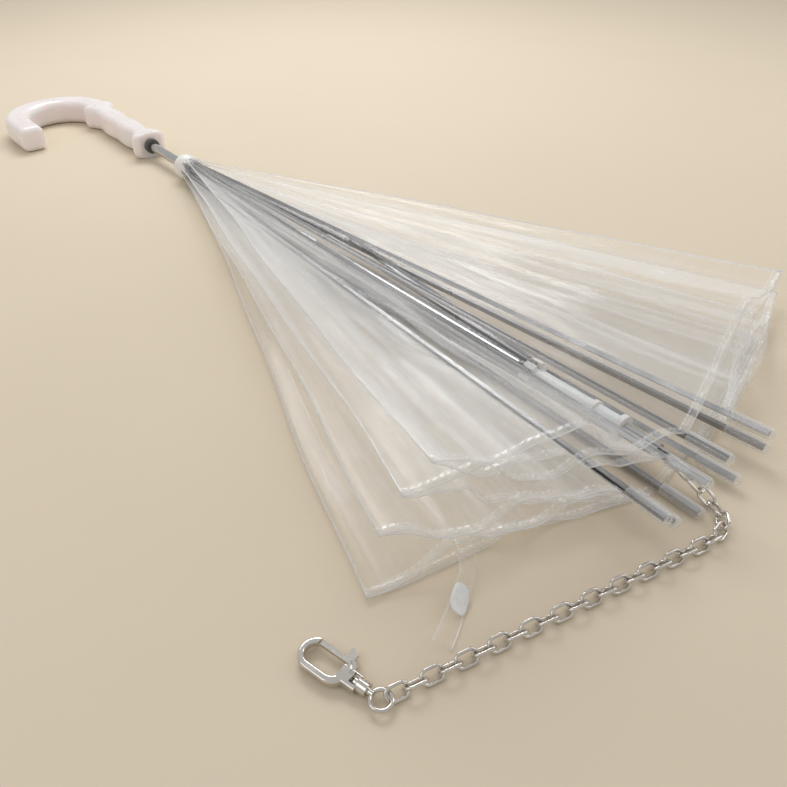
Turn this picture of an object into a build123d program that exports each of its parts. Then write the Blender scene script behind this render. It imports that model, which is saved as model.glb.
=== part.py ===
"""Clear pet umbrella, folded and lying on its side: canopy, frame, outside J handle, inside chain and snap hook.

Working frame, in millimetres: the shaft's axis runs along +X from the handle to the rib tips, at height
axis_height over the surface the umbrella lies on, with x = 0 in the plane of the rib pivots. Every part is
moved by centre_shift at the end, so that the packed origin is at the middle of the base.
"""

from build123d import *
from math import acos, cos, radians, sin, sqrt
import os

os.makedirs("parts", exist_ok=True)

# Driving dimensions
axis_height = 11.0  # shaft axis over the surface, half the handle's thickness
centre_shift = Vector(-134.4, 1.8, 0)  # from the working frame to the packed frame
rib_count = 8
rib_length = 499.0  # pivot to tip
rib_width = 3.0
rib_height = 2.4
rib_wall = 0.5
crown_pivot_radius = 6.5
stretcher_at = 193.0  # rivet's distance from the rib's pivot
stretcher_thickness = 1.3
stretcher_height = 2.2
side_step = 2.45  # rib centre to stretcher centre, across the rivet
runner_pivot_radius = 7.2
runner_x = 383.0  # runner pivots, umbrella closed
runner_travel = 240.0
runner_tube = 60.0
wire_radius = 0.8
shaft_radius = 4.0
shaft_wall = 0.6
shaft_start = -132.0
shaft_end = 462.0
handle_start = -77.0  # socket face
handle_bend_x = -194.0  # where the hook's bend begins
handle_bend_radius = 38.0
handle_tail = 34.0
handle_thickness = 22.0
tip_radius = 3.1
tip_length = 23.0
film = 0.6
film_start = 45.0  # the film solids begin this far from the crown
film_rib_length = 474.0
crease_length = 461.0
crease_start_radius = 9.0
link_length = 11.0
link_width = 7.2
link_wire = 0.75
link_pitch = 7.45
link_roll = 45.0
first_rolls = [0.0, 84.0, -12.0, 72.0, -28.0, 49.0, -41.0]  # flat in the plug's eye, then easing into the twist
cap_radius = 10.4
slot_width = 3.2
catch_length = 6.0
catch_width = 2.4
catch_rise = 0.9
latch_wall = 1.5  # runner wall that closes each end of its keyway
upper_catch_x = 206.4
lower_catch_x = 375.7
snap_thickness = 3.6
snap_rounding = 0.9
lever_thickness = 1.6
lever_pivot = (9.2, -1.6)
swivel_radius = 1.4
strap_width = 9.0
patch_width = 13.0

# The chain's line from the shaft's end to the snap hook, and the hook's own line
link_height = 2.95  # a rolled link's centre over the surface
chain_corners = [
    Vector(shaft_end + 5.9, 0, axis_height),
    Vector(476, -0.3, 9.6),
    Vector(485, -1, 6.6),
    Vector(494, -2.5, 3.7),
    Vector(500, -4.5, link_height),
    Vector(505, -7, link_height),
    Vector(508.5, -13, link_height),
    Vector(509, -21, link_height),
    Vector(472.7, -182, link_height),
]
link_count = 29
eye_step = 6.6  # last link's centre to the centre of the swivel's eye
snap_direction = Vector(-31, -7, 0).normalized()
strap_points = [(452, -107), (456, -117), (461, -131), (466, -140), (469.5, -148.5)]
patch_points = [(458.5, -126), (461, -131), (465.5, -139)]

# Where each rib's tip and each gore's folded edge lie, as (y, height over the surface).
# The ribs go round the crown from +Y over the top; gore g lies between rib g and rib g + 1.
rib_tips_yz = [(44, 9), (44, 18), (-2, 30), (-16, 24), (-44, 20), (-35, 12), (-13, 3.2), (17, 5.4)]
stretcher_sides = [1, 1, -1, -1, 1, 1, 1, -1]  # the side of its rib that each stretcher lies on
end_gaps = [1.6, 7.5, 2.5, 1.6, 1.6, 1.6, 7.5, 6.0]  # each stretcher's end stops this short of the runner's ring
creases_yz = [(191, 9), (150, 45), (-132, 66), (-143, 55), (-151, 38), (-158, 2.4), (140, 2.0), (165, 6.5)]


def on_axis(x, radius=0.0, turn=0.0):
    """The point at x, at a radius from the shaft's axis, turned from +Y towards +Z by turn degrees."""
    a = radians(turn)
    return Vector(x, radius * cos(a), axis_height + radius * sin(a))


def pointing(length, y, z, start):
    """The direction from start to the point at that distance whose y and z are given."""
    across = Vector(0, y - start.Y, z - start.Z)
    return Vector(sqrt(length**2 - across.length**2), across.Y, across.Z) / length


def turned(vector, axis, angle):
    """A vector turned about a unit axis by an angle in radians."""
    along = axis * axis.dot(vector) * (1 - cos(angle))
    return vector * cos(angle) + axis.cross(vector) * sin(angle) + along


def straight_bar(section, start, direction, across, length):
    """A section drawn in a plane whose x is across, extruded from start along direction."""
    return extrude(Plane(origin=start, x_dir=across, z_dir=direction) * section, amount=length)


def rod(start, end, radius):
    plane = Plane(origin=start, z_dir=(end - start))
    return extrude(plane * Circle(radius), amount=(end - start).length)


def save(part, name):
    export_step(Pos(centre_shift) * part, f"parts/{name}.step")


# Rib geometry: pivots, directions at rest and with the umbrella open, and the hinge axes between them.
open_angle = radians(68.0)
rib_turns = [45.0 * k for k in range(rib_count)]
pivots = [on_axis(0, crown_pivot_radius, turn) for turn in rib_turns]
rest_dirs = [pointing(rib_length, y, z, p) for (y, z), p in zip(rib_tips_yz, pivots)]
outward = [Vector(0, cos(radians(t)), sin(radians(t))) for t in rib_turns]
open_dirs = [Vector(cos(open_angle), 0, 0) + u * sin(open_angle) for u in outward]
rib_axes = [a.cross(b).normalized() for a, b in zip(rest_dirs, open_dirs)]
rib_angles = [acos(a.dot(b)) for a, b in zip(rest_dirs, open_dirs)]


def stretcher_ends(k):
    """The rivet's point inside the stretcher, and the stretcher's runner end."""
    line_point = pivots[k] + rest_dirs[k] * stretcher_at
    runner_end = on_axis(runner_x, runner_pivot_radius, rib_turns[k])
    return line_point + rib_axes[k] * (stretcher_sides[k] * side_step), runner_end


def rivet_axis(k):
    """The axis that turns a stretcher in its rib from where it lies closed to where it stands open."""
    start, runner_end = stretcher_ends(k)
    risen = pivots[k] + turned(start - pivots[k], rib_axes[k], rib_angles[k])
    open_end = runner_end - Vector(runner_travel, 0, 0)
    in_rib = turned(open_end - risen, rib_axes[k], -rib_angles[k])
    return (runner_end - start).cross(in_rib).normalized()


def make_rib(k):
    """A fluted rib: a channel open towards the shaft, with a solid eye on the crown wire."""
    direction, axis = rest_dirs[k], rib_axes[k]
    channel = Rectangle(rib_width, rib_height)
    hollow = Pos(0, -rib_wall) * Rectangle(rib_width - 2 * rib_wall, rib_height)
    facing = straight_bar(channel - hollow, pivots[k] + direction * 3.2, direction, axis, rib_length - 6.2)
    eye_end = axis * (0.5 * 2.2)
    eye = rod(pivots[k] - eye_end, pivots[k] + eye_end, 1.6)
    neck = straight_bar(Rectangle(2.2, 2.2), pivots[k] + direction * 1.2, direction, axis, 4.5)
    hole = rod(pivots[k] - axis * 3, pivots[k] + axis * 3, wire_radius + 0.2)
    rivet_at = stretcher_ends(k)[0]
    rivet_hole = rod(rivet_at - rivet_axis(k) * 9, rivet_at + rivet_axis(k) * 9, 0.75)
    return facing + eye + neck - hole - rivet_hole


def make_stretcher(k):
    """A flat bar beside the rib, with its rivet through both walls of the rib's channel."""
    start, runner_end = stretcher_ends(k)
    direction = (runner_end - start).normalized()
    axis = rivet_axis(k)
    side = stretcher_sides[k] if axis.dot(rib_axes[k]) > 0 else -stretcher_sides[k]
    reach = (runner_end - start).length - end_gaps[k]
    section = Rectangle(stretcher_thickness, stretcher_height)
    bar = straight_bar(section, start, direction, axis, reach)
    end = axis * (0.5 * stretcher_thickness)
    eye = rod(start - end, start + end, 0.5 * stretcher_height)
    pin_start = start - axis * (side * 0.2)
    pin_end = start - axis * (side * (side_step + 0.5 * rib_width + 0.7))
    head = rod(pin_end, pin_end + axis * (side * 0.5), 1.3)
    return bar + eye + rod(pin_start, pin_end, 0.65) + head


def make_rib_tip(k):
    """A clear sleeve with a round end, closed over the last of the rib."""
    start = pivots[k] + rest_dirs[k] * (rib_length - tip_length)
    end = pivots[k] + rest_dirs[k] * (rib_length - tip_radius)
    sleeve = rod(start, end, tip_radius) + Pos(end) * Sphere(tip_radius)
    bore = rod(start, pivots[k] + rest_dirs[k] * (rib_length - 2.4), 2.06)
    return sleeve - bore


# The folded gores


def crease_line(g):
    """A gore's folded edge: its start near the crown and its direction."""
    start = on_axis(0, crease_start_radius, 45.0 * g + 22.5)
    return start, pointing(crease_length, *creases_yz[g], start)


def make_half_gore(g, second):
    """Half of a folded gore: a thin flat triangle from a rib's outer side to the gore's folded edge."""
    k = (g + second) % rib_count
    other = (g + 1 - second) % rib_count
    start, direction = crease_line(g)
    edge = start + direction * (crease_length - 2.0)
    outside = outward[k] * 2.2
    rib_end = pivots[k] + rest_dirs[k] * film_rib_length + outside
    other_end = pivots[other] + rest_dirs[other] * film_rib_length
    towards = (edge - rib_end).normalized()
    normal = (edge - rib_end).cross(edge - pivots[k]).normalized()
    if normal.dot(rib_end - other_end) < 0:
        normal = -normal
    near = (start + direction * film_start + pivots[k] + rest_dirs[k] * film_start + outside) * 0.5
    same_side = 0.0 if rib_turns[k] in (90.0, 270.0) else 0.9
    rib_side = rib_end + towards * 0.8 - normal * same_side
    fold_side = edge + normal * 0.7
    outline = Wire.make_polygon([near, rib_side, fold_side], close=True)
    return Solid.extrude(Face(outline), normal * film)


def make_handle():
    """The J handle: a grip with shallow finger waves, a round bend and a rounded end."""
    waves = [21.4, 20.8, 19.2, 21.2, 19.4, 21.2, 19.4, 21.2, 22.0]
    step = (handle_start - handle_bend_x) / (len(waves) - 1)
    sections = []
    for i, width in enumerate(waves):
        plane = Plane(origin=on_axis(handle_start - i * step), x_dir=(0, 1, 0), z_dir=(-1, 0, 0))
        sections.append(plane * RectangleRounded(width, handle_thickness, 6.5))
    grip = loft(sections)
    bend_start = on_axis(handle_bend_x)
    bend = (Vector(-handle_bend_radius, -handle_bend_radius, 0), Vector(0, -2 * handle_bend_radius, 0))
    arc = ThreePointArc(bend_start, bend_start + bend[0], bend_start + bend[1])
    tail_start = bend_start + bend[1]
    end = tail_start + Vector(handle_tail, 0, 0)
    path = arc + Line(tail_start, end)
    section = Plane(origin=bend_start, x_dir=(0, 1, 0), z_dir=(-1, 0, 0))
    hook = sweep(section * RectangleRounded(handle_thickness, handle_thickness, 6.5), path=path)
    hook = fillet(hook.faces().sort_by_distance(end)[0].edges(), 5.0)
    socket = rod(on_axis(handle_start + 1), on_axis(shaft_start - 0.5), shaft_radius + 0.05)
    return grip + hook - socket



def make_shaft_tube():
    tube = rod(on_axis(shaft_start), on_axis(shaft_end), shaft_radius)
    tube -= rod(on_axis(shaft_start - 1), on_axis(shaft_end + 1), shaft_radius - shaft_wall)
    for x, length in ((upper_catch_x, catch_length), (lower_catch_x, catch_length)):
        tube -= Pos(x, 0, axis_height + 4) * Box(length + 0.6, catch_width + 0.6, 6)
    return tube


def make_handle_collar():
    """The dark bush in the handle's socket mouth, round the shaft."""
    bush = rod(on_axis(handle_start + 0.1), on_axis(handle_start + 4.1), 6.4)
    return bush - rod(on_axis(handle_start - 1), on_axis(handle_start + 6), shaft_radius + 0.05)


def make_top_cap():
    """The white ball cap that clamps the film's centre on the crown."""
    cap = Pos(on_axis(-9.5)) * Sphere(cap_radius)
    cap -= Pos(on_axis(6.6)) * Box(20, 30, 30)
    return cap - rod(on_axis(-30), on_axis(10), shaft_radius + 0.05)


def make_hub(x, radius, length, pivot_radius, floor_radius):
    """A slotted disc: one radial slot for each rib or stretcher, and a groove for the wire ring."""
    hub = rod(on_axis(x - length / 2), on_axis(x + length / 2), radius)
    for turn in rib_turns:
        slot = Box(length + 2, radius, slot_width)
        slot = Pos(0, floor_radius + radius / 2, 0) * slot
        hub -= Pos(on_axis(x)) * Rot(turn, 0, 0) * slot
    ring = Plane(origin=on_axis(x), z_dir=(1, 0, 0)) * Torus(pivot_radius, wire_radius + 0.06)
    return hub - ring


def make_wire(x, pivot_radius):
    return Plane(origin=on_axis(x), z_dir=(1, 0, 0)) * Torus(pivot_radius, wire_radius)


def make_crown_hub():
    hub = make_hub(0, 9.4, 6.0, crown_pivot_radius, 4.75)
    return hub - rod(on_axis(-9), on_axis(9), shaft_radius + 0.05)


def make_runner():
    """The sliding runner: slotted hub, tube and end flange, with a keyway for the shaft's two catches."""
    end = runner_x + runner_tube
    hub = make_hub(runner_x, 8.9, 7.0, runner_pivot_radius, 5.5)
    # Slot 7 is wider at its mouth on one side, where its stretcher leans sideways early in the travel.
    hub -= Pos(on_axis(runner_x)) * Rot(rib_turns[6], 0, 0) * Pos(0, 8.6, 2.1) * Box(9.0, 4.0, 1.1)
    tube = rod(on_axis(runner_x), on_axis(end), 5.4)
    flange = rod(on_axis(end - 3.0), on_axis(end), 7.4)
    grip = rod(on_axis(end - 20.0), on_axis(end - 17.5), 6.6)
    body = hub + tube + flange + grip - rod(on_axis(runner_x - 9), on_axis(end + 9), shaft_radius + 0.08)
    keyway_start = runner_x - 3.5 + latch_wall
    keyway = end - latch_wall - keyway_start
    return body - Pos(keyway_start + keyway / 2, 0, axis_height + 4.0) * Box(keyway, catch_width + 0.8, 2.2)


def make_catch(x, facing):
    """A sprung catch that stands out of the shaft: square towards the runner, sloped on its other end."""
    foot, top = catch_length / 2, shaft_radius + catch_rise
    tip = foot - 3.0
    with BuildSketch(Plane(origin=(x, 0, axis_height), x_dir=(facing, 0, 0), z_dir=(0, -facing, 0))) as side:
        Polygon((-foot, 1.2), (foot, 1.2), (foot, top), (-tip, top), (-foot, 3.6), align=None)
    return extrude(side.sketch, amount=catch_width / 2, both=True)


def make_end_plug():
    """The plug in the shaft's end, with the eye that the chain hangs from."""
    plug = rod(on_axis(shaft_end - 9), on_axis(shaft_end), shaft_radius - shaft_wall - 0.03)
    plug += rod(on_axis(shaft_end + 0.05), on_axis(shaft_end + 1.6), shaft_radius)
    plug += rod(on_axis(shaft_end - 0.5), on_axis(shaft_end + 0.5), shaft_radius - shaft_wall - 0.03)
    tab = Pos(on_axis(shaft_end + 4.0)) * Box(7.0, 1.6, 5.6)
    return plug + tab - Pos(on_axis(shaft_end + 5.0)) * Rot(90, 0, 0) * Cylinder(1.3, 4)


# Chain and snap hook


def make_link(centre, direction, roll):
    """One stadium-shaped wire link, its long way along direction, rolled about it."""
    up = (Vector(0, 0, 1) - direction * direction.Z).normalized()
    plane = Plane(origin=centre, x_dir=direction, z_dir=turned(up, direction, radians(roll)))
    straight = 0.5 * (link_length - link_width)
    bend = 0.5 * link_width - link_wire
    low, high = (-straight, -bend), (straight, bend)
    outline = Line(low, (straight, -bend)) + ThreePointArc((straight, -bend), (straight + bend, 0), high)
    outline += Line(high, (-straight, bend)) + ThreePointArc((-straight, bend), (-straight - bend, 0), low)
    path = plane * outline
    section = Plane(origin=path @ 0, z_dir=path % 0) * Circle(link_wire)
    return sweep(section, path=path)


def chain_points(corners, count):
    """The centres and directions of links spaced evenly along a line with the given corners."""
    line = Polyline(*corners)
    joints = [line @ (i * link_pitch / line.length) for i in range(count + 1)]
    return [((a + b) * 0.5, (b - a).normalized()) for a, b in zip(joints, joints[1:])]


def save_links(spots, first, name):
    rolls = first_rolls + [link_roll, -link_roll] * len(spots)
    links = [make_link(c, d, rolls[first + i]) for i, (c, d) in enumerate(spots)]
    save(Compound(children=links), name)


def snap_frame():
    """The snap hook's own frame: x from its swivel towards its tip, starting at the collar."""
    last, direction = chain_points(chain_corners, link_count)[-1]
    start = last + direction * eye_step + snap_direction * 6.0
    return Plane(origin=start, x_dir=snap_direction, z_dir=(0, 0, 1))


def make_snap_body():
    """The snap hook's body: swivel collar, slotted blade and hook, open on one side for the lever."""
    collar = Pos(2.5, 0, 0) * Rot(0, 90, 0) * Cylinder(2.8, 5.0)
    blade = Box(9.0, 7.2, snap_thickness)
    blade = Pos(8.5, 0.4, 0) * fillet(blade.edges().filter_by(Axis.X), snap_rounding)
    loop = Pos(20.5, 0.5, 0) * (SlotOverall(23.0, 14.5) - Pos(0.4, 0) * SlotOverall(17.0, 8.3))
    hook = extrude(Plane.XY * loop, amount=snap_thickness / 2, both=True)
    flats = hook.faces().filter_by(Axis.Z)
    hook = fillet(flats[0].edges() + flats[1].edges(), snap_rounding)
    hook -= Pos(19.6, -5.6, 0) * Box(15.2, 6.4, 6)
    body = collar + blade + hook
    body -= Pos(9.0, -3.6, 0) * Box(9.4, 9.4, lever_thickness + 0.5)
    body -= Pos(2.5, 0, 0) * Rot(0, 90, 0) * Cylinder(swivel_radius + 0.08, 5.2)
    body -= Pos(6.0, 0, 0) * Box(3.2, 4.4, 10)
    body -= Pos(lever_pivot) * Cylinder(0.95, 10)
    return snap_frame() * body


def make_snap_lever():
    """The sprung gate that closes the hook, with its thumb tab."""
    bar = Pos(18.3, -4.9, 0) * Box(16.6, 2.2, lever_thickness)
    root = Pos(lever_pivot) * Cylinder(2.1, lever_thickness)
    arm = Pos(10.3, -3.4, 0) * Box(2.4, 3.6, lever_thickness)
    tab = Pos(13.2, -7.4, 0) * Box(3.0, 3.4, lever_thickness)
    lever = bar + root + arm + tab + Pos(14.4, -8.9, 0) * Cylinder(1.3, lever_thickness)
    return snap_frame() * (lever - Pos(lever_pivot) * Cylinder(1.0, 10))


def make_snap_swivel():
    """The swivel's eye, with its stem through the body's collar and its peened head."""
    eye = Pos(-6.0, 0, 0) * Torus(4.2, 0.9)
    stem = Pos(1.3, 0, 0) * Rot(0, 90, 0) * Cylinder(swivel_radius, 7.6)
    head = Pos(5.6, 0, 0) * Rot(0, 90, 0) * Cylinder(1.9, 1.2)
    return snap_frame() * (eye + stem + head)


def make_snap_pin():
    pin = Cylinder(0.9, snap_thickness + 0.3) - Pos(0, 0, snap_thickness / 2 + 0.2) * Cylinder(0.45, 1.2)
    return snap_frame() * (Pos(lever_pivot) * pin)


def ribbon(points, width, bottom, height):
    """A flat strip lying on the surface along a line of points."""
    line = Polyline(*[(x, y) for x, y in points])
    return Pos(0, 0, bottom) * extrude(make_face(offset(line, width / 2).wires()[0]), amount=height)


for k in range(rib_count):
    save(make_rib(k), f"rib_{k + 1}")
    save(make_stretcher(k), f"stretcher_{k + 1}")
    save(make_rib_tip(k), f"rib_tip_{k + 1}")
    save(make_half_gore(k, 0), f"gore_{k + 1}_first_half")
    save(make_half_gore(k, 1), f"gore_{k + 1}_second_half")

save(make_handle(), "handle")
save(make_handle_collar(), "handle_collar")
save(make_shaft_tube(), "shaft_tube")
save(make_top_cap(), "top_cap")
save(make_crown_hub(), "crown_hub")
save(make_wire(0, crown_pivot_radius), "crown_wire")
save(make_runner(), "runner")
save(make_wire(runner_x, runner_pivot_radius), "runner_wire")
save(make_catch(upper_catch_x, -1), "upper_catch")
save(make_catch(lower_catch_x, 1), "lower_catch")
save(make_end_plug(), "end_plug")

links = chain_points(chain_corners, link_count)
save_links(links[:7], 0, "chain_upper")
save_links(links[7:18], 7, "chain_middle")
save_links(links[18:], 18, "chain_lower")
save(make_snap_swivel(), "snap_swivel")
save(make_snap_body(), "snap_body")
save(make_snap_lever(), "snap_lever")
save(make_snap_pin(), "snap_pin")
save(ribbon(strap_points, strap_width, 0.6, 0.6), "tie_strap")
save(ribbon(patch_points, patch_width, 1.3, 0.6), "strap_patch")
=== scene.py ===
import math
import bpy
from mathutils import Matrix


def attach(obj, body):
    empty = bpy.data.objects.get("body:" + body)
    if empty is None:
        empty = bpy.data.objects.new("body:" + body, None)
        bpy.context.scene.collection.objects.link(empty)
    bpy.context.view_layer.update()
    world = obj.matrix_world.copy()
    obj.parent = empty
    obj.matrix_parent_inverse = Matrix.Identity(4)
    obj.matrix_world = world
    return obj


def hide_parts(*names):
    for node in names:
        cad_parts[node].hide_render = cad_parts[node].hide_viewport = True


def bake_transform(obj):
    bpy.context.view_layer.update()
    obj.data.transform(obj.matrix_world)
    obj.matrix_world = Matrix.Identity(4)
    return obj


bl_info = {
    "name": "Folded Clear Pet Umbrella",
    "version": (1, 0, 0),
    "blender": (4, 5, 0),
    "location": "View3D > Sidebar > Umbrella",
    "description": "Clear film canopy, finishes, stage and camera for a folded pet umbrella",
    "category": "Object",
}

import bmesh
import bpy
from mathutils import Vector, noise

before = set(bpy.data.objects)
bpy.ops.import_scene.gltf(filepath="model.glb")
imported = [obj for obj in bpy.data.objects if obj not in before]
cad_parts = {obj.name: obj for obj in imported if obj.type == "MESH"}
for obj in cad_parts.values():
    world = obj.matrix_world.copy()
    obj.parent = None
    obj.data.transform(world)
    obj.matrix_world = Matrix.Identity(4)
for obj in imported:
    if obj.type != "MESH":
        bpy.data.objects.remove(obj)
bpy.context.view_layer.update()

# Layout of the frame, in metres: the shaft's axis runs along +X, and x = 0 is the rib pivots before the shift.
SHIFT = Vector((-0.1344, 0.0018, 0.0))
AXIS_HEIGHT = 0.011
RIBS = 8
RIB_LENGTH = 0.499
CREASE_LENGTH = 0.461
FILM_RIB_LENGTH = 0.4755
PIVOT_RADIUS = 0.0065
CREASE_START_RADIUS = 0.009
CROWN_START = -0.0032
RIB_TIPS = [(44, 9), (44, 18), (-2, 30), (-16, 24), (-44, 20), (-35, 12), (-13, 3.2), (17, 5.4)]
CREASES = [(191, 9), (150, 45), (-132, 66), (-143, 55), (-151, 38), (-158, 2.4), (140, 2.0), (165, 6.5)]

# Film details: lengths in metres, thicknesses as shares of the film's own
FILM_SPAN = 0.47  # crown to hem, for the distance that the hem's texture is drawn by
STITCH_PITCH = 0.0032
HEM_LAYERS = 2.5
SINGLE_SHARE = 0.4
STRAP_LAYERS = 1.5
LOWEST = 0.0008  # the film never sinks below this height over the floor


def on_axis(x, radius=0.0, turn=0.0):
    """A point by its x, its distance from the shaft's axis and its turn from +Y towards +Z, in degrees."""
    a = math.radians(turn)
    return Vector((x, radius * math.cos(a), AXIS_HEIGHT + radius * math.sin(a))) + SHIFT


def pointing(length, y_mm, z_mm, start):
    """The direction from start to the point at that distance whose y and z are given."""
    across = Vector((0, y_mm / 1000 + SHIFT.y - start.y, z_mm / 1000 - start.z))
    return Vector((math.sqrt(length**2 - across.length_squared), across.y, across.z)) / length


def smooth(low, high, x):
    """0 below low, 1 above high (or the reverse), eased between."""
    t = min(1.0, max(0.0, (x - low) / (high - low)))
    return t * t * (3 - 2 * t)


class UmbrellaFilm(bpy.types.PropertyGroup):
    rows: bpy.props.IntProperty(name="Rows", description="Faces along each half gore", default=110, min=20, max=240)
    columns: bpy.props.IntProperty(
        name="Columns", description="Faces across each half gore", default=34, min=6, max=80)
    thickness: bpy.props.FloatProperty(
        name="Thickness", description="Film thickness", default=0.0003, min=0.0001, max=0.002, unit="LENGTH")
    hem_width: bpy.props.FloatProperty(
        name="Hem Width", description="Width of the stitched hem band", default=0.005, min=0.001, max=0.02,
        unit="LENGTH")
    bulge: bpy.props.FloatProperty(
        name="Bulge", description="How far each half gore stands out from flat", default=0.004, min=0.0, max=0.02,
        unit="LENGTH")
    pleat: bpy.props.FloatProperty(
        name="Pleat Depth", description="Depth of the long soft folds", default=0.0032, min=0.0, max=0.01,
        unit="LENGTH")
    hem_wave: bpy.props.FloatProperty(
        name="Hem Wave", description="How far the loose hem waves in and out", default=0.0065, min=0.0, max=0.02,
        unit="LENGTH")
    clearness: bpy.props.FloatProperty(
        name="Cover", description="How much the film hides what lies under it", default=0.035, min=0.02, max=0.9)
    tint: bpy.props.FloatVectorProperty(
        name="Tint", description="Colour of the film's haze", subtype="COLOR", size=3, default=(0.93, 0.93, 0.93),
        min=0.0, max=1.0)


class UmbrellaFinish(bpy.types.PropertyGroup):
    handle: bpy.props.FloatVectorProperty(
        name="Handle", description="Pearly handle colour", subtype="COLOR", size=3, default=(0.86, 0.78, 0.77),
        min=0.0, max=1.0)
    white: bpy.props.FloatVectorProperty(
        name="White Plastic", description="Cap and runner colour", subtype="COLOR", size=3,
        default=(0.86, 0.85, 0.83), min=0.0, max=1.0)
    chrome: bpy.props.FloatVectorProperty(
        name="Chrome", description="Shaft colour", subtype="COLOR", size=3, default=(0.62, 0.62, 0.63), min=0.0,
        max=1.0)
    rib: bpy.props.FloatVectorProperty(
        name="Rib Plating", description="Rib and stretcher colour", subtype="COLOR", size=3,
        default=(0.36, 0.36, 0.37), min=0.0, max=1.0)
    nickel: bpy.props.FloatVectorProperty(
        name="Nickel", description="Chain and snap hook colour", subtype="COLOR", size=3,
        default=(0.74, 0.71, 0.67), min=0.0, max=1.0)


class UmbrellaStage(bpy.types.PropertyGroup):
    floor: bpy.props.FloatVectorProperty(
        name="Floor", description="Floor colour", subtype="COLOR", size=3, default=(0.73, 0.63, 0.49), min=0.0,
        max=1.0)
    lens: bpy.props.FloatProperty(
        name="Lens", description="Camera focal length in mm", default=34.765, min=10, max=200)
    camera_height: bpy.props.FloatProperty(
        name="Camera Height", description="Camera over the floor", default=0.25915, unit="LENGTH")
    pitch: bpy.props.FloatProperty(
        name="Pitch", description="How far the camera looks down", default=math.radians(37.987), subtype="ANGLE")
    heading: bpy.props.FloatProperty(
        name="Heading", description="Viewing direction, from +X towards +Y", default=math.radians(139.757),
        subtype="ANGLE")
    key_power: bpy.props.FloatProperty(name="Key Power", description="Main soft light in watts", default=6.0, min=0)
    fill_power: bpy.props.FloatProperty(name="Fill Power", description="Fill light in watts", default=1.7, min=0)
    sky: bpy.props.FloatProperty(name="Sky", description="Strength of the even light", default=0.55, min=0)


# Shader helpers


def new_material(name):
    """A fresh material, with its tree, its Principled shader and its output."""
    material = bpy.data.materials.new(name)
    material.use_nodes = True
    tree = material.node_tree
    shader = next(n for n in tree.nodes if n.type == "BSDF_PRINCIPLED")
    return material, tree, shader


def add(tree, kind, **values):
    """A new node, with values for its inputs or, where it has no such input, its settings."""
    node = tree.nodes.new(kind)
    for key, value in values.items():
        if key in node.inputs:
            node.inputs[key].default_value = value
        else:
            setattr(node, key, value)
    return node


def surface_variation():
    """Shared group: smudged roughness, a soft mask and a fine relief from one position input."""
    name = "Surface Variation"
    if name in bpy.data.node_groups:
        return bpy.data.node_groups[name]
    group = bpy.data.node_groups.new(name, "ShaderNodeTree")
    sockets = group.interface
    sockets.new_socket("Position", in_out="INPUT", socket_type="NodeSocketVector")
    for label, value in (("Scale", 60.0), ("Low", 0.2), ("High", 0.4), ("Relief", 0.05), ("Depth", 0.0003)):
        socket = sockets.new_socket(label, in_out="INPUT", socket_type="NodeSocketFloat")
        socket.default_value = value
    for label in ("Roughness", "Mask"):
        sockets.new_socket(label, in_out="OUTPUT", socket_type="NodeSocketFloat")
    sockets.new_socket("Normal", in_out="OUTPUT", socket_type="NodeSocketVector")
    source = group.nodes.new("NodeGroupInput")
    target = group.nodes.new("NodeGroupOutput")
    broad = add(group, "ShaderNodeTexNoise", Detail=3.0, Roughness=0.55)
    fine = add(group, "ShaderNodeTexNoise", Detail=2.0, Roughness=0.6)
    fine_scale = add(group, "ShaderNodeMath", operation="MULTIPLY")
    fine_scale.inputs[1].default_value = 9.0
    spread = add(group, "ShaderNodeMapRange")
    spread.inputs["From Min"].default_value = 0.34
    spread.inputs["From Max"].default_value = 0.66
    level = add(group, "ShaderNodeMapRange")
    bump = add(group, "ShaderNodeBump")
    link = group.links.new
    link(source.outputs["Position"], broad.inputs["Vector"])
    link(source.outputs["Position"], fine.inputs["Vector"])
    link(source.outputs["Scale"], broad.inputs["Scale"])
    link(source.outputs["Scale"], fine_scale.inputs[0])
    link(fine_scale.outputs[0], fine.inputs["Scale"])
    link(broad.outputs["Fac"], spread.inputs["Value"])
    link(spread.outputs["Result"], level.inputs["Value"])
    link(source.outputs["Low"], level.inputs["To Min"])
    link(source.outputs["High"], level.inputs["To Max"])
    link(fine.outputs["Fac"], bump.inputs["Height"])
    link(source.outputs["Relief"], bump.inputs["Strength"])
    link(source.outputs["Depth"], bump.inputs["Distance"])
    link(level.outputs["Result"], target.inputs["Roughness"])
    link(spread.outputs["Result"], target.inputs["Mask"])
    link(bump.outputs["Normal"], target.inputs["Normal"])
    return group


def place_variation(tree, shader, scale, low, high, relief, depth=0.0002):
    """Puts the shared group in a material and drives roughness and normal with it."""
    node = tree.nodes.new("ShaderNodeGroup")
    node.node_tree = surface_variation()
    where = tree.nodes.new("ShaderNodeTexCoord")
    tree.links.new(where.outputs["Object"], node.inputs["Position"])
    for key, value in (("Scale", scale), ("Low", low), ("High", high), ("Relief", relief), ("Depth", depth)):
        node.inputs[key].default_value = value
    tree.links.new(node.outputs["Roughness"], shader.inputs["Roughness"])
    tree.links.new(node.outputs["Normal"], shader.inputs["Normal"])
    return node


def tint_by(tree, shader, mask, first, second):
    """Mixes two close colours by a mask into the shader's base colour."""
    mix = add(tree, "ShaderNodeMix", data_type="RGBA")
    colour_inputs = [s for s in mix.inputs if s.type == "RGBA"]
    colour_inputs[0].default_value = (*first, 1)
    colour_inputs[1].default_value = (*second, 1)
    tree.links.new(mask, mix.inputs["Factor"])
    result = [s for s in mix.outputs if s.type == "RGBA"][0]
    tree.links.new(result, shader.inputs["Base Color"])


def shade(colour, factor):
    """The colour made lighter or darker."""
    return tuple(min(1.0, c * factor) for c in colour)


def dress(nodes, material):
    """Puts one material on every slot of the named nodes."""
    for name in nodes:
        for material_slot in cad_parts[name].material_slots:
            material_slot.material = material


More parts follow.
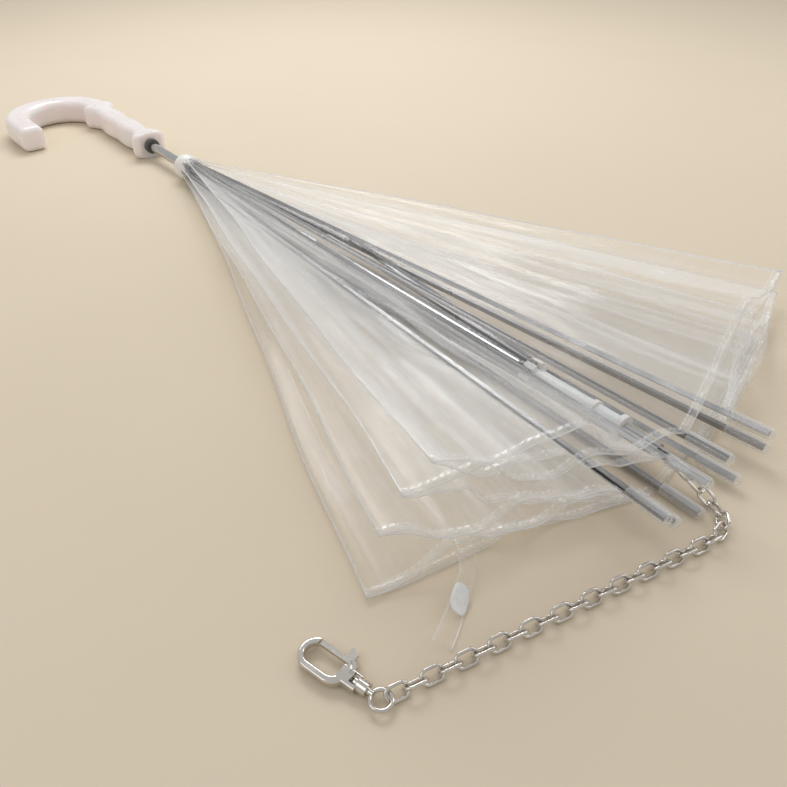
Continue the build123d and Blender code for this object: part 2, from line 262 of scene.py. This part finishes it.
def metal(name, colour, low, high, scale, relief):
    """A smudged metal: roughness from low to high, in patches of the given scale."""
    material, tree, shader = new_material(name)
    shader.inputs["Metallic"].default_value = 1.0
    shader.inputs["Specular IOR Level"].default_value = 0.6
    node = place_variation(tree, shader, scale, low, high, relief)
    tint_by(tree, shader, node.outputs["Mask"], colour, shade(colour, 0.86))
    return material


def film_material(settings):
    """Clear soft film: low cover that rises at glancing angles as painted reflection, with more cover on the hem
    and in fine creases.
    """
    material, tree, shader = new_material("clear film")
    link = tree.links.new
    uv = add(tree, "ShaderNodeUVMap", uv_map="film")
    stretch = add(tree, "ShaderNodeMapping")
    stretch.inputs["Scale"].default_value = (2.5, 55.0, 1.0)
    link(uv.outputs["UV"], stretch.inputs["Vector"])
    streaks = add(tree, "ShaderNodeTexNoise", Scale=1.0, Detail=2.0, Roughness=0.55)
    link(stretch.outputs["Vector"], streaks.inputs["Vector"])
    crumple = add(tree, "ShaderNodeTexNoise", Scale=22.0, Detail=2.0, Roughness=0.45)
    link(uv.outputs["UV"], crumple.inputs["Vector"])
    split = add(tree, "ShaderNodeSeparateXYZ")
    link(uv.outputs["UV"], split.inputs["Vector"])

    def ranged(value, low, high, out_low, out_high):
        node = add(tree, "ShaderNodeMapRange", clamp=True)
        for key, number in (("From Min", low), ("From Max", high), ("To Min", out_low), ("To Max", out_high)):
            node.inputs[key].default_value = number
        link(value, node.inputs["Value"])
        return node.outputs["Result"]

    def combine(operation, first, second):
        node = add(tree, "ShaderNodeMath", operation=operation)
        for socket, value in ((node.inputs[0], first), (node.inputs[1], second)):
            if isinstance(value, float):
                socket.default_value = value
            else:
                link(value, socket)
        return node.outputs[0]

    hem = ranged(split.outputs["X"], settings.hem_width * 0.94, settings.hem_width * 1.06, 1.0, 0.0)
    hem_line = ranged(split.outputs["X"], 0.0003, 0.0009, 1.0, 0.0)
    stitch_wave = combine("SINE", combine("MULTIPLY", split.outputs["Y"], 2 * math.pi / STITCH_PITCH), 0.0)
    stitch_on = ranged(stitch_wave, -0.25, 0.0, 0.0, 1.0)
    stitch_near = combine("ABSOLUTE", combine("SUBTRACT", split.outputs["X"], settings.hem_width * 0.8), 0.0)
    stitch = combine("MULTIPLY", stitch_on, ranged(stitch_near, 0.0002, 0.00045, 1.0, 0.0))
    edges = add(tree, "ShaderNodeUVMap", uv_map="edge")
    edge_split = add(tree, "ShaderNodeSeparateXYZ")
    link(edges.outputs["UV"], edge_split.inputs["Vector"])
    fold = ranged(edge_split.outputs["X"], 0.0004, 0.0014, 1.0, 0.0)
    # Painted reflection: white cover rising at glancing angles stands in for the film's reflection of the bright
    # surroundings.
    facing = add(tree, "ShaderNodeLayerWeight", Blend=0.38)
    painted_glancing_reflection = ranged(facing.outputs["Facing"], 0.45, 1.0, 0.0, 0.34)
    # Whitish cover in streaks along the ribs and in crumpled spots: partly the film's real wrinkles, partly painted
    # highlight streaks.
    wrinkle_and_highlight_streaks = ranged(streaks.outputs["Fac"], 0.52, 0.70, 0.0, 0.09)
    fine = ranged(crumple.outputs["Fac"], 0.56, 0.70, 0.0, 0.05)
    cover = combine("ADD", combine("ADD", wrinkle_and_highlight_streaks, fine), settings.clearness)
    cover = combine("ADD", cover, painted_glancing_reflection)
    cover = combine("ADD", cover, combine("MULTIPLY", hem, 0.08))
    cover = combine("ADD", cover, combine("MULTIPLY", combine("MAXIMUM", fold, hem_line), 0.26))
    cover = combine("ADD", cover, combine("MULTIPLY", stitch, 0.25))
    cover = combine("MINIMUM", cover, 0.92)
    link(cover, shader.inputs["Alpha"])
    relief = combine("ADD", combine("MULTIPLY", streaks.outputs["Fac"], 0.8),
                     combine("MULTIPLY", crumple.outputs["Fac"], 0.5))
    bump = add(tree, "ShaderNodeBump", Strength=0.5, Distance=0.004)
    link(relief, bump.inputs["Height"])
    link(bump.outputs["Normal"], shader.inputs["Normal"])
    shader.inputs["Base Color"].default_value = (*settings.tint, 1)
    shader.inputs["Roughness"].default_value = 0.10
    shader.inputs["IOR"].default_value = 1.9
    shader.inputs["Specular IOR Level"].default_value = 0.7
    return material


# Film geometry


def rib_line(k):
    """Rib k's pivot and direction."""
    pivot = on_axis(0, PIVOT_RADIUS, 45.0 * k)
    return pivot, pointing(RIB_LENGTH, *RIB_TIPS[k], pivot)


def crease_line(g):
    """The start and direction of gore g's folded edge."""
    start = on_axis(0, CREASE_START_RADIUS, 45.0 * g + 22.5)
    return start, pointing(CREASE_LENGTH, *CREASES[g], start)


def outward(turn):
    """The direction away from the shaft at that turn."""
    a = math.radians(turn)
    return Vector((0, math.cos(a), math.sin(a)))


def rib_edge(k, s):
    """The film's edge over rib k, at s along it: just outside the rib, and outside the hub near the crown."""
    pivot, direction = rib_line(k)
    off = 0.0017 + 0.0020 * math.exp(-max(s, 0.0) / 0.016)
    off -= 0.0022 * smooth(-0.002, -0.0035, s)
    return pivot + direction * s + outward(45.0 * k) * off


def crease_edge(g, s):
    """The folded edge of gore g, with the slight waver of a soft fold."""
    start, direction = crease_line(g)
    side = direction.cross(Vector((0, 0, 1))).normalized()
    share = max(0.0, s / CREASE_LENGTH)
    waver = 0.0026 * math.sin(7.0 * share + 1.7 * g) + 0.0012 * math.sin(19.0 * share + 2.3 * g)
    point = start + direction * s + side * (waver * share * (1.6 - share))
    point += outward(45.0 * g + 22.5) * (0.0012 * math.exp(-max(s, 0.0) / 0.016))  # clear of the hub
    point.z = max(point.z, 0.0009)
    return point


def half_gore(g, second, settings):
    """One half of gore g, from its rib to its folded edge, as a mesh object."""
    k = (g + second) % RIBS
    other = (g + 1 - second) % RIBS
    bm = bmesh.new()
    bmesh.ops.create_grid(bm, x_segments=settings.rows, y_segments=settings.columns, size=0.5)
    rib_end, crease_end = rib_edge(k, FILM_RIB_LENGTH), crease_edge(g, CREASE_LENGTH)
    hem_length = (crease_end - rib_end).length
    normal = (crease_end - rib_end).cross(crease_end - rib_line(k)[0]).normalized()
    if normal.dot(rib_end - rib_edge(other, FILM_RIB_LENGTH)) < 0:
        normal = -normal
    seed = 3.1 * g + 7.7 * second
    layer = bm.loops.layers.uv.new("film")
    edge_layer = bm.loops.layers.uv.new("edge")
    weights = bm.verts.layers.deform.verify()
    place = {}  # each vertex's share along the rib (u) and across from rib to fold (t)
    for vert in bm.verts:
        u, t = (vert.co.x + 0.5) ** 0.9, vert.co.y + 0.5
        place[vert] = (u, t)
        rib_s = CROWN_START + (FILM_RIB_LENGTH - CROWN_START) * u
        crease_s = CROWN_START + (CREASE_LENGTH - CROWN_START) * u
        point = rib_edge(k, rib_s).lerp(crease_edge(g, crease_s), t)
        free = math.sin(math.pi * t)
        fan = free * u
        lift = settings.bulge * fan * (0.75 + 0.25 * math.sin(3.0 * u + seed))
        lift += settings.pleat * fan * math.sin(2 * math.pi * (2.2 * t + 0.12 * u) + seed)
        lift += 0.45 * settings.pleat * free * u * math.sin(2 * math.pi * (5.1 * t - 0.3 * u) + 2 * seed)
        loose = smooth(0.62, 1.0, u)
        lift += settings.hem_wave * loose * free * math.sin(2 * math.pi * (1.35 * t + 0.2 * u) + 1.3 * seed)
        ripple = noise.noise(Vector((u * 9.0, t * 4.0, seed)))
        lift += 0.0026 * ripple * free * smooth(0.1, 0.7, u)
        sag = 0.010 * loose * free * free * math.sin(1.1 + seed)
        along = (rib_edge(k, 0.4) - rib_edge(k, 0.0)).normalized()
        vert.co = point + normal * lift + along * (sag * 0.6)
        vert.co.z = max(vert.co.z, LOWEST)
        if (1 - u) * FILM_SPAN < settings.hem_width:
            vert[weights][0] = 1.0  # group 0 is the hem
    for face in bm.faces:
        face.smooth = True
        for loop in face.loops:
            u, t = place[loop.vert]
            loop[layer].uv = ((1 - u) * FILM_SPAN, t * hem_length)
            loop[edge_layer].uv = ((1 - t) * u * hem_length, t * u * hem_length)
    bmesh.ops.recalc_face_normals(bm, faces=bm.faces)
    name = f"film_{g + 1}_{'second' if second else 'first'}"
    mesh = bpy.data.meshes.new(name)
    bm.to_mesh(mesh)
    bm.free()
    piece = bpy.data.objects.new(name, mesh)
    bpy.context.scene.collection.objects.link(piece)
    piece.vertex_groups.new(name="hem")
    solid = piece.modifiers.new("thickness", "SOLIDIFY")
    solid.thickness = settings.thickness * HEM_LAYERS
    solid.offset = 0.0
    solid.vertex_group = "hem"
    solid.thickness_vertex_group = SINGLE_SHARE
    solid.use_rim = True
    return piece, hem_length


class UMBRELLA_OT_canopy(bpy.types.Operator):
    """Clear film: sixteen half gores that meet on the folded edges and over the ribs"""

    bl_idname = "umbrella.canopy"
    bl_label = "Film Canopy"

    def execute(self, context):
        settings = context.scene.umbrella_film
        material = film_material(settings)
        for g in range(RIBS):
            for second in (0, 1):
                piece, hem_length = half_gore(g, second, settings)
                piece.data.materials.append(material)
                half = "second" if second else "first"
                node = f"gore_{g + 1}_{half}_half"
                k = (g + second) % RIBS
                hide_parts(node)
                at_rib = rib_edge(k, 0.3)
                across = crease_edge(g, 0.3) - at_rib
                along = rib_line(k)[1]
                across = (across - along * across.dot(along)).normalized()
                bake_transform(piece)
        return {"FINISHED"}


class UMBRELLA_OT_strap(bpy.types.Operator):
    """Clear tie strap lying beside the canopy, with its white patch"""

    bl_idname = "umbrella.strap"
    bl_label = "Tie Strap"

    def execute(self, context):
        settings = context.scene.umbrella_film
        route = [(438, -108, 8), (445, -111, 8), (454, -119, 6), (460, -130, 4), (466, -140, 2), (470, -149, 1.5)]
        curve = bpy.data.curves.new("strap line", "CURVE")
        curve.dimensions = "3D"
        spline = curve.splines.new("NURBS")
        spline.points.add(len(route) - 1)
        for point, (x, y, z) in zip(spline.points, route):
            point.co = (*(Vector((x, y, z)) / 1000 + SHIFT), 1)
        spline.order_u = 3
        spline.use_endpoint_u = True
        curve.resolution_u = 12
        holder = bpy.data.objects.new("strap line", curve)
        path = [v.co.copy() for v in bpy.data.meshes.new_from_object(holder).vertices]
        bpy.data.objects.remove(holder)
        for name, slot, low, high, width, lift in (
            ("strap", "clear_film", 0.0, 1.0, 0.0095, 0.0),
            ("patch", "white_patch", 0.50, 0.76, 0.0100, 0.0006),
        ):
            bm = bmesh.new()
            bmesh.ops.create_grid(bm, x_segments=40, y_segments=6, size=0.5)
            layer = bm.loops.layers.uv.new("film")
            edge_layer = bm.loops.layers.uv.new("edge")
            place = {}
            for vert in bm.verts:
                u, t = vert.co.x + 0.5, vert.co.y + 0.5
                place[vert] = (u, t)
                at = (low + (high - low) * u) * (len(path) - 1)
                i = min(int(at), len(path) - 2)
                point = path[i].lerp(path[i + 1], at - i)
                direction = (path[i + 1] - path[i]).normalized()
                side = direction.cross(Vector((0, 0, 1))).normalized()
                turn = 0.9 * math.sin(2.4 * (at / len(path)) + 0.3)
                side = side * math.cos(turn) + Vector((0, 0, 1)) * math.sin(turn)
                taper = (1 - (2 * u - 1) ** 4) ** 0.5 if name == "patch" else 1.0
                across = side * ((t - 0.5) * width * taper)
                up = side.cross(direction).normalized()
                vert.co = point + across + up * (lift + 0.0004 * math.sin(5 * t))
                vert.co.z = max(vert.co.z, 0.0007 + lift)
            for face in bm.faces:
                face.smooth = True
                for loop in face.loops:
                    u, t = place[loop.vert]
                    loop[layer].uv = (0.02 + u * 0.04, t * width)
                    loop[edge_layer].uv = (min(t, 1 - t) * width, t * width)
            bmesh.ops.recalc_face_normals(bm, faces=bm.faces)
            mesh = bpy.data.meshes.new(name)
            bm.to_mesh(mesh)
            bm.free()
            piece = bpy.data.objects.new(name, mesh)
            context.scene.collection.objects.link(piece)
            solid = piece.modifiers.new("thickness", "SOLIDIFY")
            solid.thickness = settings.thickness * STRAP_LAYERS
            solid.offset = 0.0
            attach(piece, "gore_6_first_half")
            if name == "strap":
                piece.data.materials.append(bpy.data.materials["clear film"])
                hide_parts("tie_strap")
            else:
                material, tree, shader = new_material("woven patch")
                node = place_variation(tree, shader, 300.0, 0.6, 0.8, 0.5, 0.0004)
                tint_by(tree, shader, node.outputs["Mask"], (0.9, 0.9, 0.9), (0.82, 0.82, 0.82))
                piece.data.materials.append(material)
                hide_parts("strap_patch")
        return {"FINISHED"}


class UMBRELLA_OT_handle(bpy.types.Operator):
    """Pearly, slightly translucent J handle"""

    bl_idname = "umbrella.handle"
    bl_label = "Handle"

    def execute(self, context):
        colour = tuple(context.scene.umbrella_finish.handle)
        material, tree, shader = new_material("pearly handle")
        node = place_variation(tree, shader, 24.0, 0.22, 0.36, 0.10)
        tint_by(tree, shader, node.outputs["Mask"], colour, (colour[0], colour[1] * 1.05, colour[2] * 1.06))
        shader.inputs["Subsurface Weight"].default_value = 0.55
        shader.inputs["Subsurface Radius"].default_value = (1.0, 0.75, 0.7)
        shader.inputs["Subsurface Scale"].default_value = 0.012
        shader.inputs["Coat Weight"].default_value = 0.35
        shader.inputs["Coat Roughness"].default_value = 0.12
        dress(["handle"], material)
        return {"FINISHED"}


class UMBRELLA_OT_fittings(bpy.types.Operator):
    """White cap, crown hub and runner, and the dark bush in the handle"""

    bl_idname = "umbrella.fittings"
    bl_label = "Cap, Hubs and Runner"

    def execute(self, context):
        white = tuple(context.scene.umbrella_finish.white)
        material, tree, shader = new_material("white moulding")
        node = place_variation(tree, shader, 40.0, 0.26, 0.42, 0.12)
        tint_by(tree, shader, node.outputs["Mask"], white, shade(white, 0.96))
        shader.inputs["Subsurface Weight"].default_value = 0.15
        shader.inputs["Subsurface Scale"].default_value = 0.004
        dress(["top_cap", "crown_hub", "runner"], material)
        bush, tree, shader = new_material("dark bush")
        node = place_variation(tree, shader, 80.0, 0.45, 0.65, 0.2)
        tint_by(tree, shader, node.outputs["Mask"], (0.07, 0.07, 0.075), (0.11, 0.11, 0.11))
        dress(["handle_collar"], bush)
        return {"FINISHED"}


class UMBRELLA_OT_metalwork(bpy.types.Operator):
    """Chromed shaft, plated ribs and stretchers, nickel chain and snap hook"""

    bl_idname = "umbrella.metalwork"
    bl_label = "Metalwork"

    def execute(self, context):
        finish = context.scene.umbrella_finish
        dress(["shaft_tube", "end_plug"], metal("chromed tube", tuple(finish.chrome), 0.07, 0.16, 30.0, 0.03))
        ribs = [f"{kind}_{k + 1}" for kind in ("rib", "stretcher") for k in range(RIBS)]
        ribs += ["crown_wire", "runner_wire", "upper_catch", "lower_catch"]
        dress(ribs, metal("plated steel", tuple(finish.rib), 0.22, 0.38, 50.0, 0.08))
        chain = ["chain_upper", "chain_middle", "chain_lower", "snap_swivel", "snap_body", "snap_lever", "snap_pin"]
        dress(chain, metal("polished nickel", tuple(finish.nickel), 0.08, 0.2, 90.0, 0.06))
        return {"FINISHED"}


class UMBRELLA_OT_tips(bpy.types.Operator):
    """Clear sleeves over the rib ends"""

    bl_idname = "umbrella.tips"
    bl_label = "Rib Tips"

    def execute(self, context):
        material, tree, shader = new_material("clear sleeve")
        node = place_variation(tree, shader, 90.0, 0.10, 0.22, 0.1)
        # Painted reflection: the sleeve's whitish cover rises from 0.16 to 0.75 at glancing angles.
        facing = add(tree, "ShaderNodeLayerWeight", Blend=0.4)
        level = add(tree, "ShaderNodeMapRange", clamp=True)
        for key, number in (("From Min", 0.15), ("From Max", 0.95), ("To Min", 0.16), ("To Max", 0.75)):
            level.inputs[key].default_value = number
        tree.links.new(facing.outputs["Facing"], level.inputs["Value"])
        tree.links.new(level.outputs["Result"], shader.inputs["Alpha"])
        tint_by(tree, shader, node.outputs["Mask"], (0.9, 0.9, 0.9), (0.84, 0.85, 0.86))
        shader.inputs["IOR"].default_value = 1.9
        shader.inputs["Specular IOR Level"].default_value = 0.9
        dress([f"rib_tip_{k + 1}" for k in range(RIBS)], material)
        return {"FINISHED"}


class UMBRELLA_OT_stage(bpy.types.Operator):
    """Pale floor, soft lights and the camera"""

    bl_idname = "umbrella.stage"
    bl_label = "Stage"

    def execute(self, context):
        stage = context.scene.umbrella_stage
        scene = context.scene
        bm = bmesh.new()
        bmesh.ops.create_grid(bm, x_segments=1, y_segments=1, size=6.0)
        mesh = bpy.data.meshes.new("floor")
        bm.to_mesh(mesh)
        bm.free()
        floor = bpy.data.objects.new("floor", mesh)
        scene.collection.objects.link(floor)
        material, tree, shader = new_material("floor")
        node = place_variation(tree, shader, 3.0, 0.55, 0.7, 0.0)
        colour = tuple(stage.floor)
        tint_by(tree, shader, node.outputs["Mask"], colour, shade(colour, 0.97))
        shader.inputs["Specular IOR Level"].default_value = 0.25
        mesh.materials.append(material)

        def aim(obj, target):
            obj.rotation_euler = (Vector(target) - obj.location).to_track_quat("-Z", "Y").to_euler()

        forward = Vector((math.cos(stage.heading), math.sin(stage.heading), 0))
        side = Vector((forward.y, -forward.x, 0))
        middle = Vector((0.08, 0.0, 0.0))
        lights = (
            ("key", middle + forward * 0.75 + Vector((0, 0, 0.85)) - side * 0.15, 0.75, 0.45, stage.key_power),
            ("fill", middle - forward * 0.5 - side * 0.8 + Vector((0, 0, 0.9)), 0.7, 0.7, stage.fill_power),
            ("side", middle + side * 0.95 + forward * 0.25 + Vector((0, 0, 0.7)), 0.35, 0.8, stage.fill_power),
        )
        for name, where, width, depth, power in lights:
            data = bpy.data.lights.new(name, "AREA")
            data.shape = "RECTANGLE"
            data.size, data.size_y = width, depth
            data.energy = power
            lamp = bpy.data.objects.new(name, data)
            lamp.location = where
            scene.collection.objects.link(lamp)
            aim(lamp, middle)
        world = bpy.data.worlds.new("even light")
        world.use_nodes = True
        world.node_tree.nodes["Background"].inputs["Color"].default_value = (1.0, 0.99, 0.97, 1)
        world.node_tree.nodes["Background"].inputs["Strength"].default_value = stage.sky
        scene.world = world
        data = bpy.data.cameras.new("camera")
        data.sensor_width = 36.0
        data.lens = stage.lens
        data.clip_start = 0.01
        camera = bpy.data.objects.new("camera", data)
        camera.location = (0.454404, -0.272206, stage.camera_height)
        look = forward * math.cos(stage.pitch) - Vector((0, 0, math.sin(stage.pitch)))
        camera.rotation_euler = look.to_track_quat("-Z", "Y").to_euler()
        scene.collection.objects.link(camera)
        scene.camera = camera
        scene.cycles.transparent_max_bounces = 48
        scene.view_settings.view_transform = "Standard"
        return {"FINISHED"}


class UMBRELLA_PT_panel(bpy.types.Panel):
    bl_label = "Pet Umbrella"
    bl_idname = "UMBRELLA_PT_panel"
    bl_space_type = "VIEW_3D"
    bl_region_type = "UI"
    bl_category = "Umbrella"

    def draw(self, context):
        column = self.layout.column(align=True)
        for operator in OPERATORS:
            column.operator(operator.bl_idname)
        for group in ("umbrella_film", "umbrella_finish", "umbrella_stage"):
            settings = getattr(context.scene, group)
            for key in settings.__annotations__:
                self.layout.prop(settings, key)


OPERATORS = (
    UMBRELLA_OT_stage,
    UMBRELLA_OT_handle,
    UMBRELLA_OT_fittings,
    UMBRELLA_OT_metalwork,
    UMBRELLA_OT_tips,
    UMBRELLA_OT_canopy,
    UMBRELLA_OT_strap,
)
GROUPS = (
    ("umbrella_film", UmbrellaFilm),
    ("umbrella_finish", UmbrellaFinish),
    ("umbrella_stage", UmbrellaStage),
)


def register():
    for name, group in GROUPS:
        bpy.utils.register_class(group)
        setattr(bpy.types.Scene, name, bpy.props.PointerProperty(type=group))
    for operator in OPERATORS:
        bpy.utils.register_class(operator)
    bpy.utils.register_class(UMBRELLA_PT_panel)


def unregister():
    bpy.utils.unregister_class(UMBRELLA_PT_panel)
    for operator in reversed(OPERATORS):
        bpy.utils.unregister_class(operator)
    for name, group in reversed(GROUPS):
        delattr(bpy.types.Scene, name)
        bpy.utils.unregister_class(group)


def main():
    register()
    for operator in OPERATORS:
        group, name = operator.bl_idname.split(".")
        getattr(getattr(bpy.ops, group), name)()


if __name__ == "__main__":
    main()
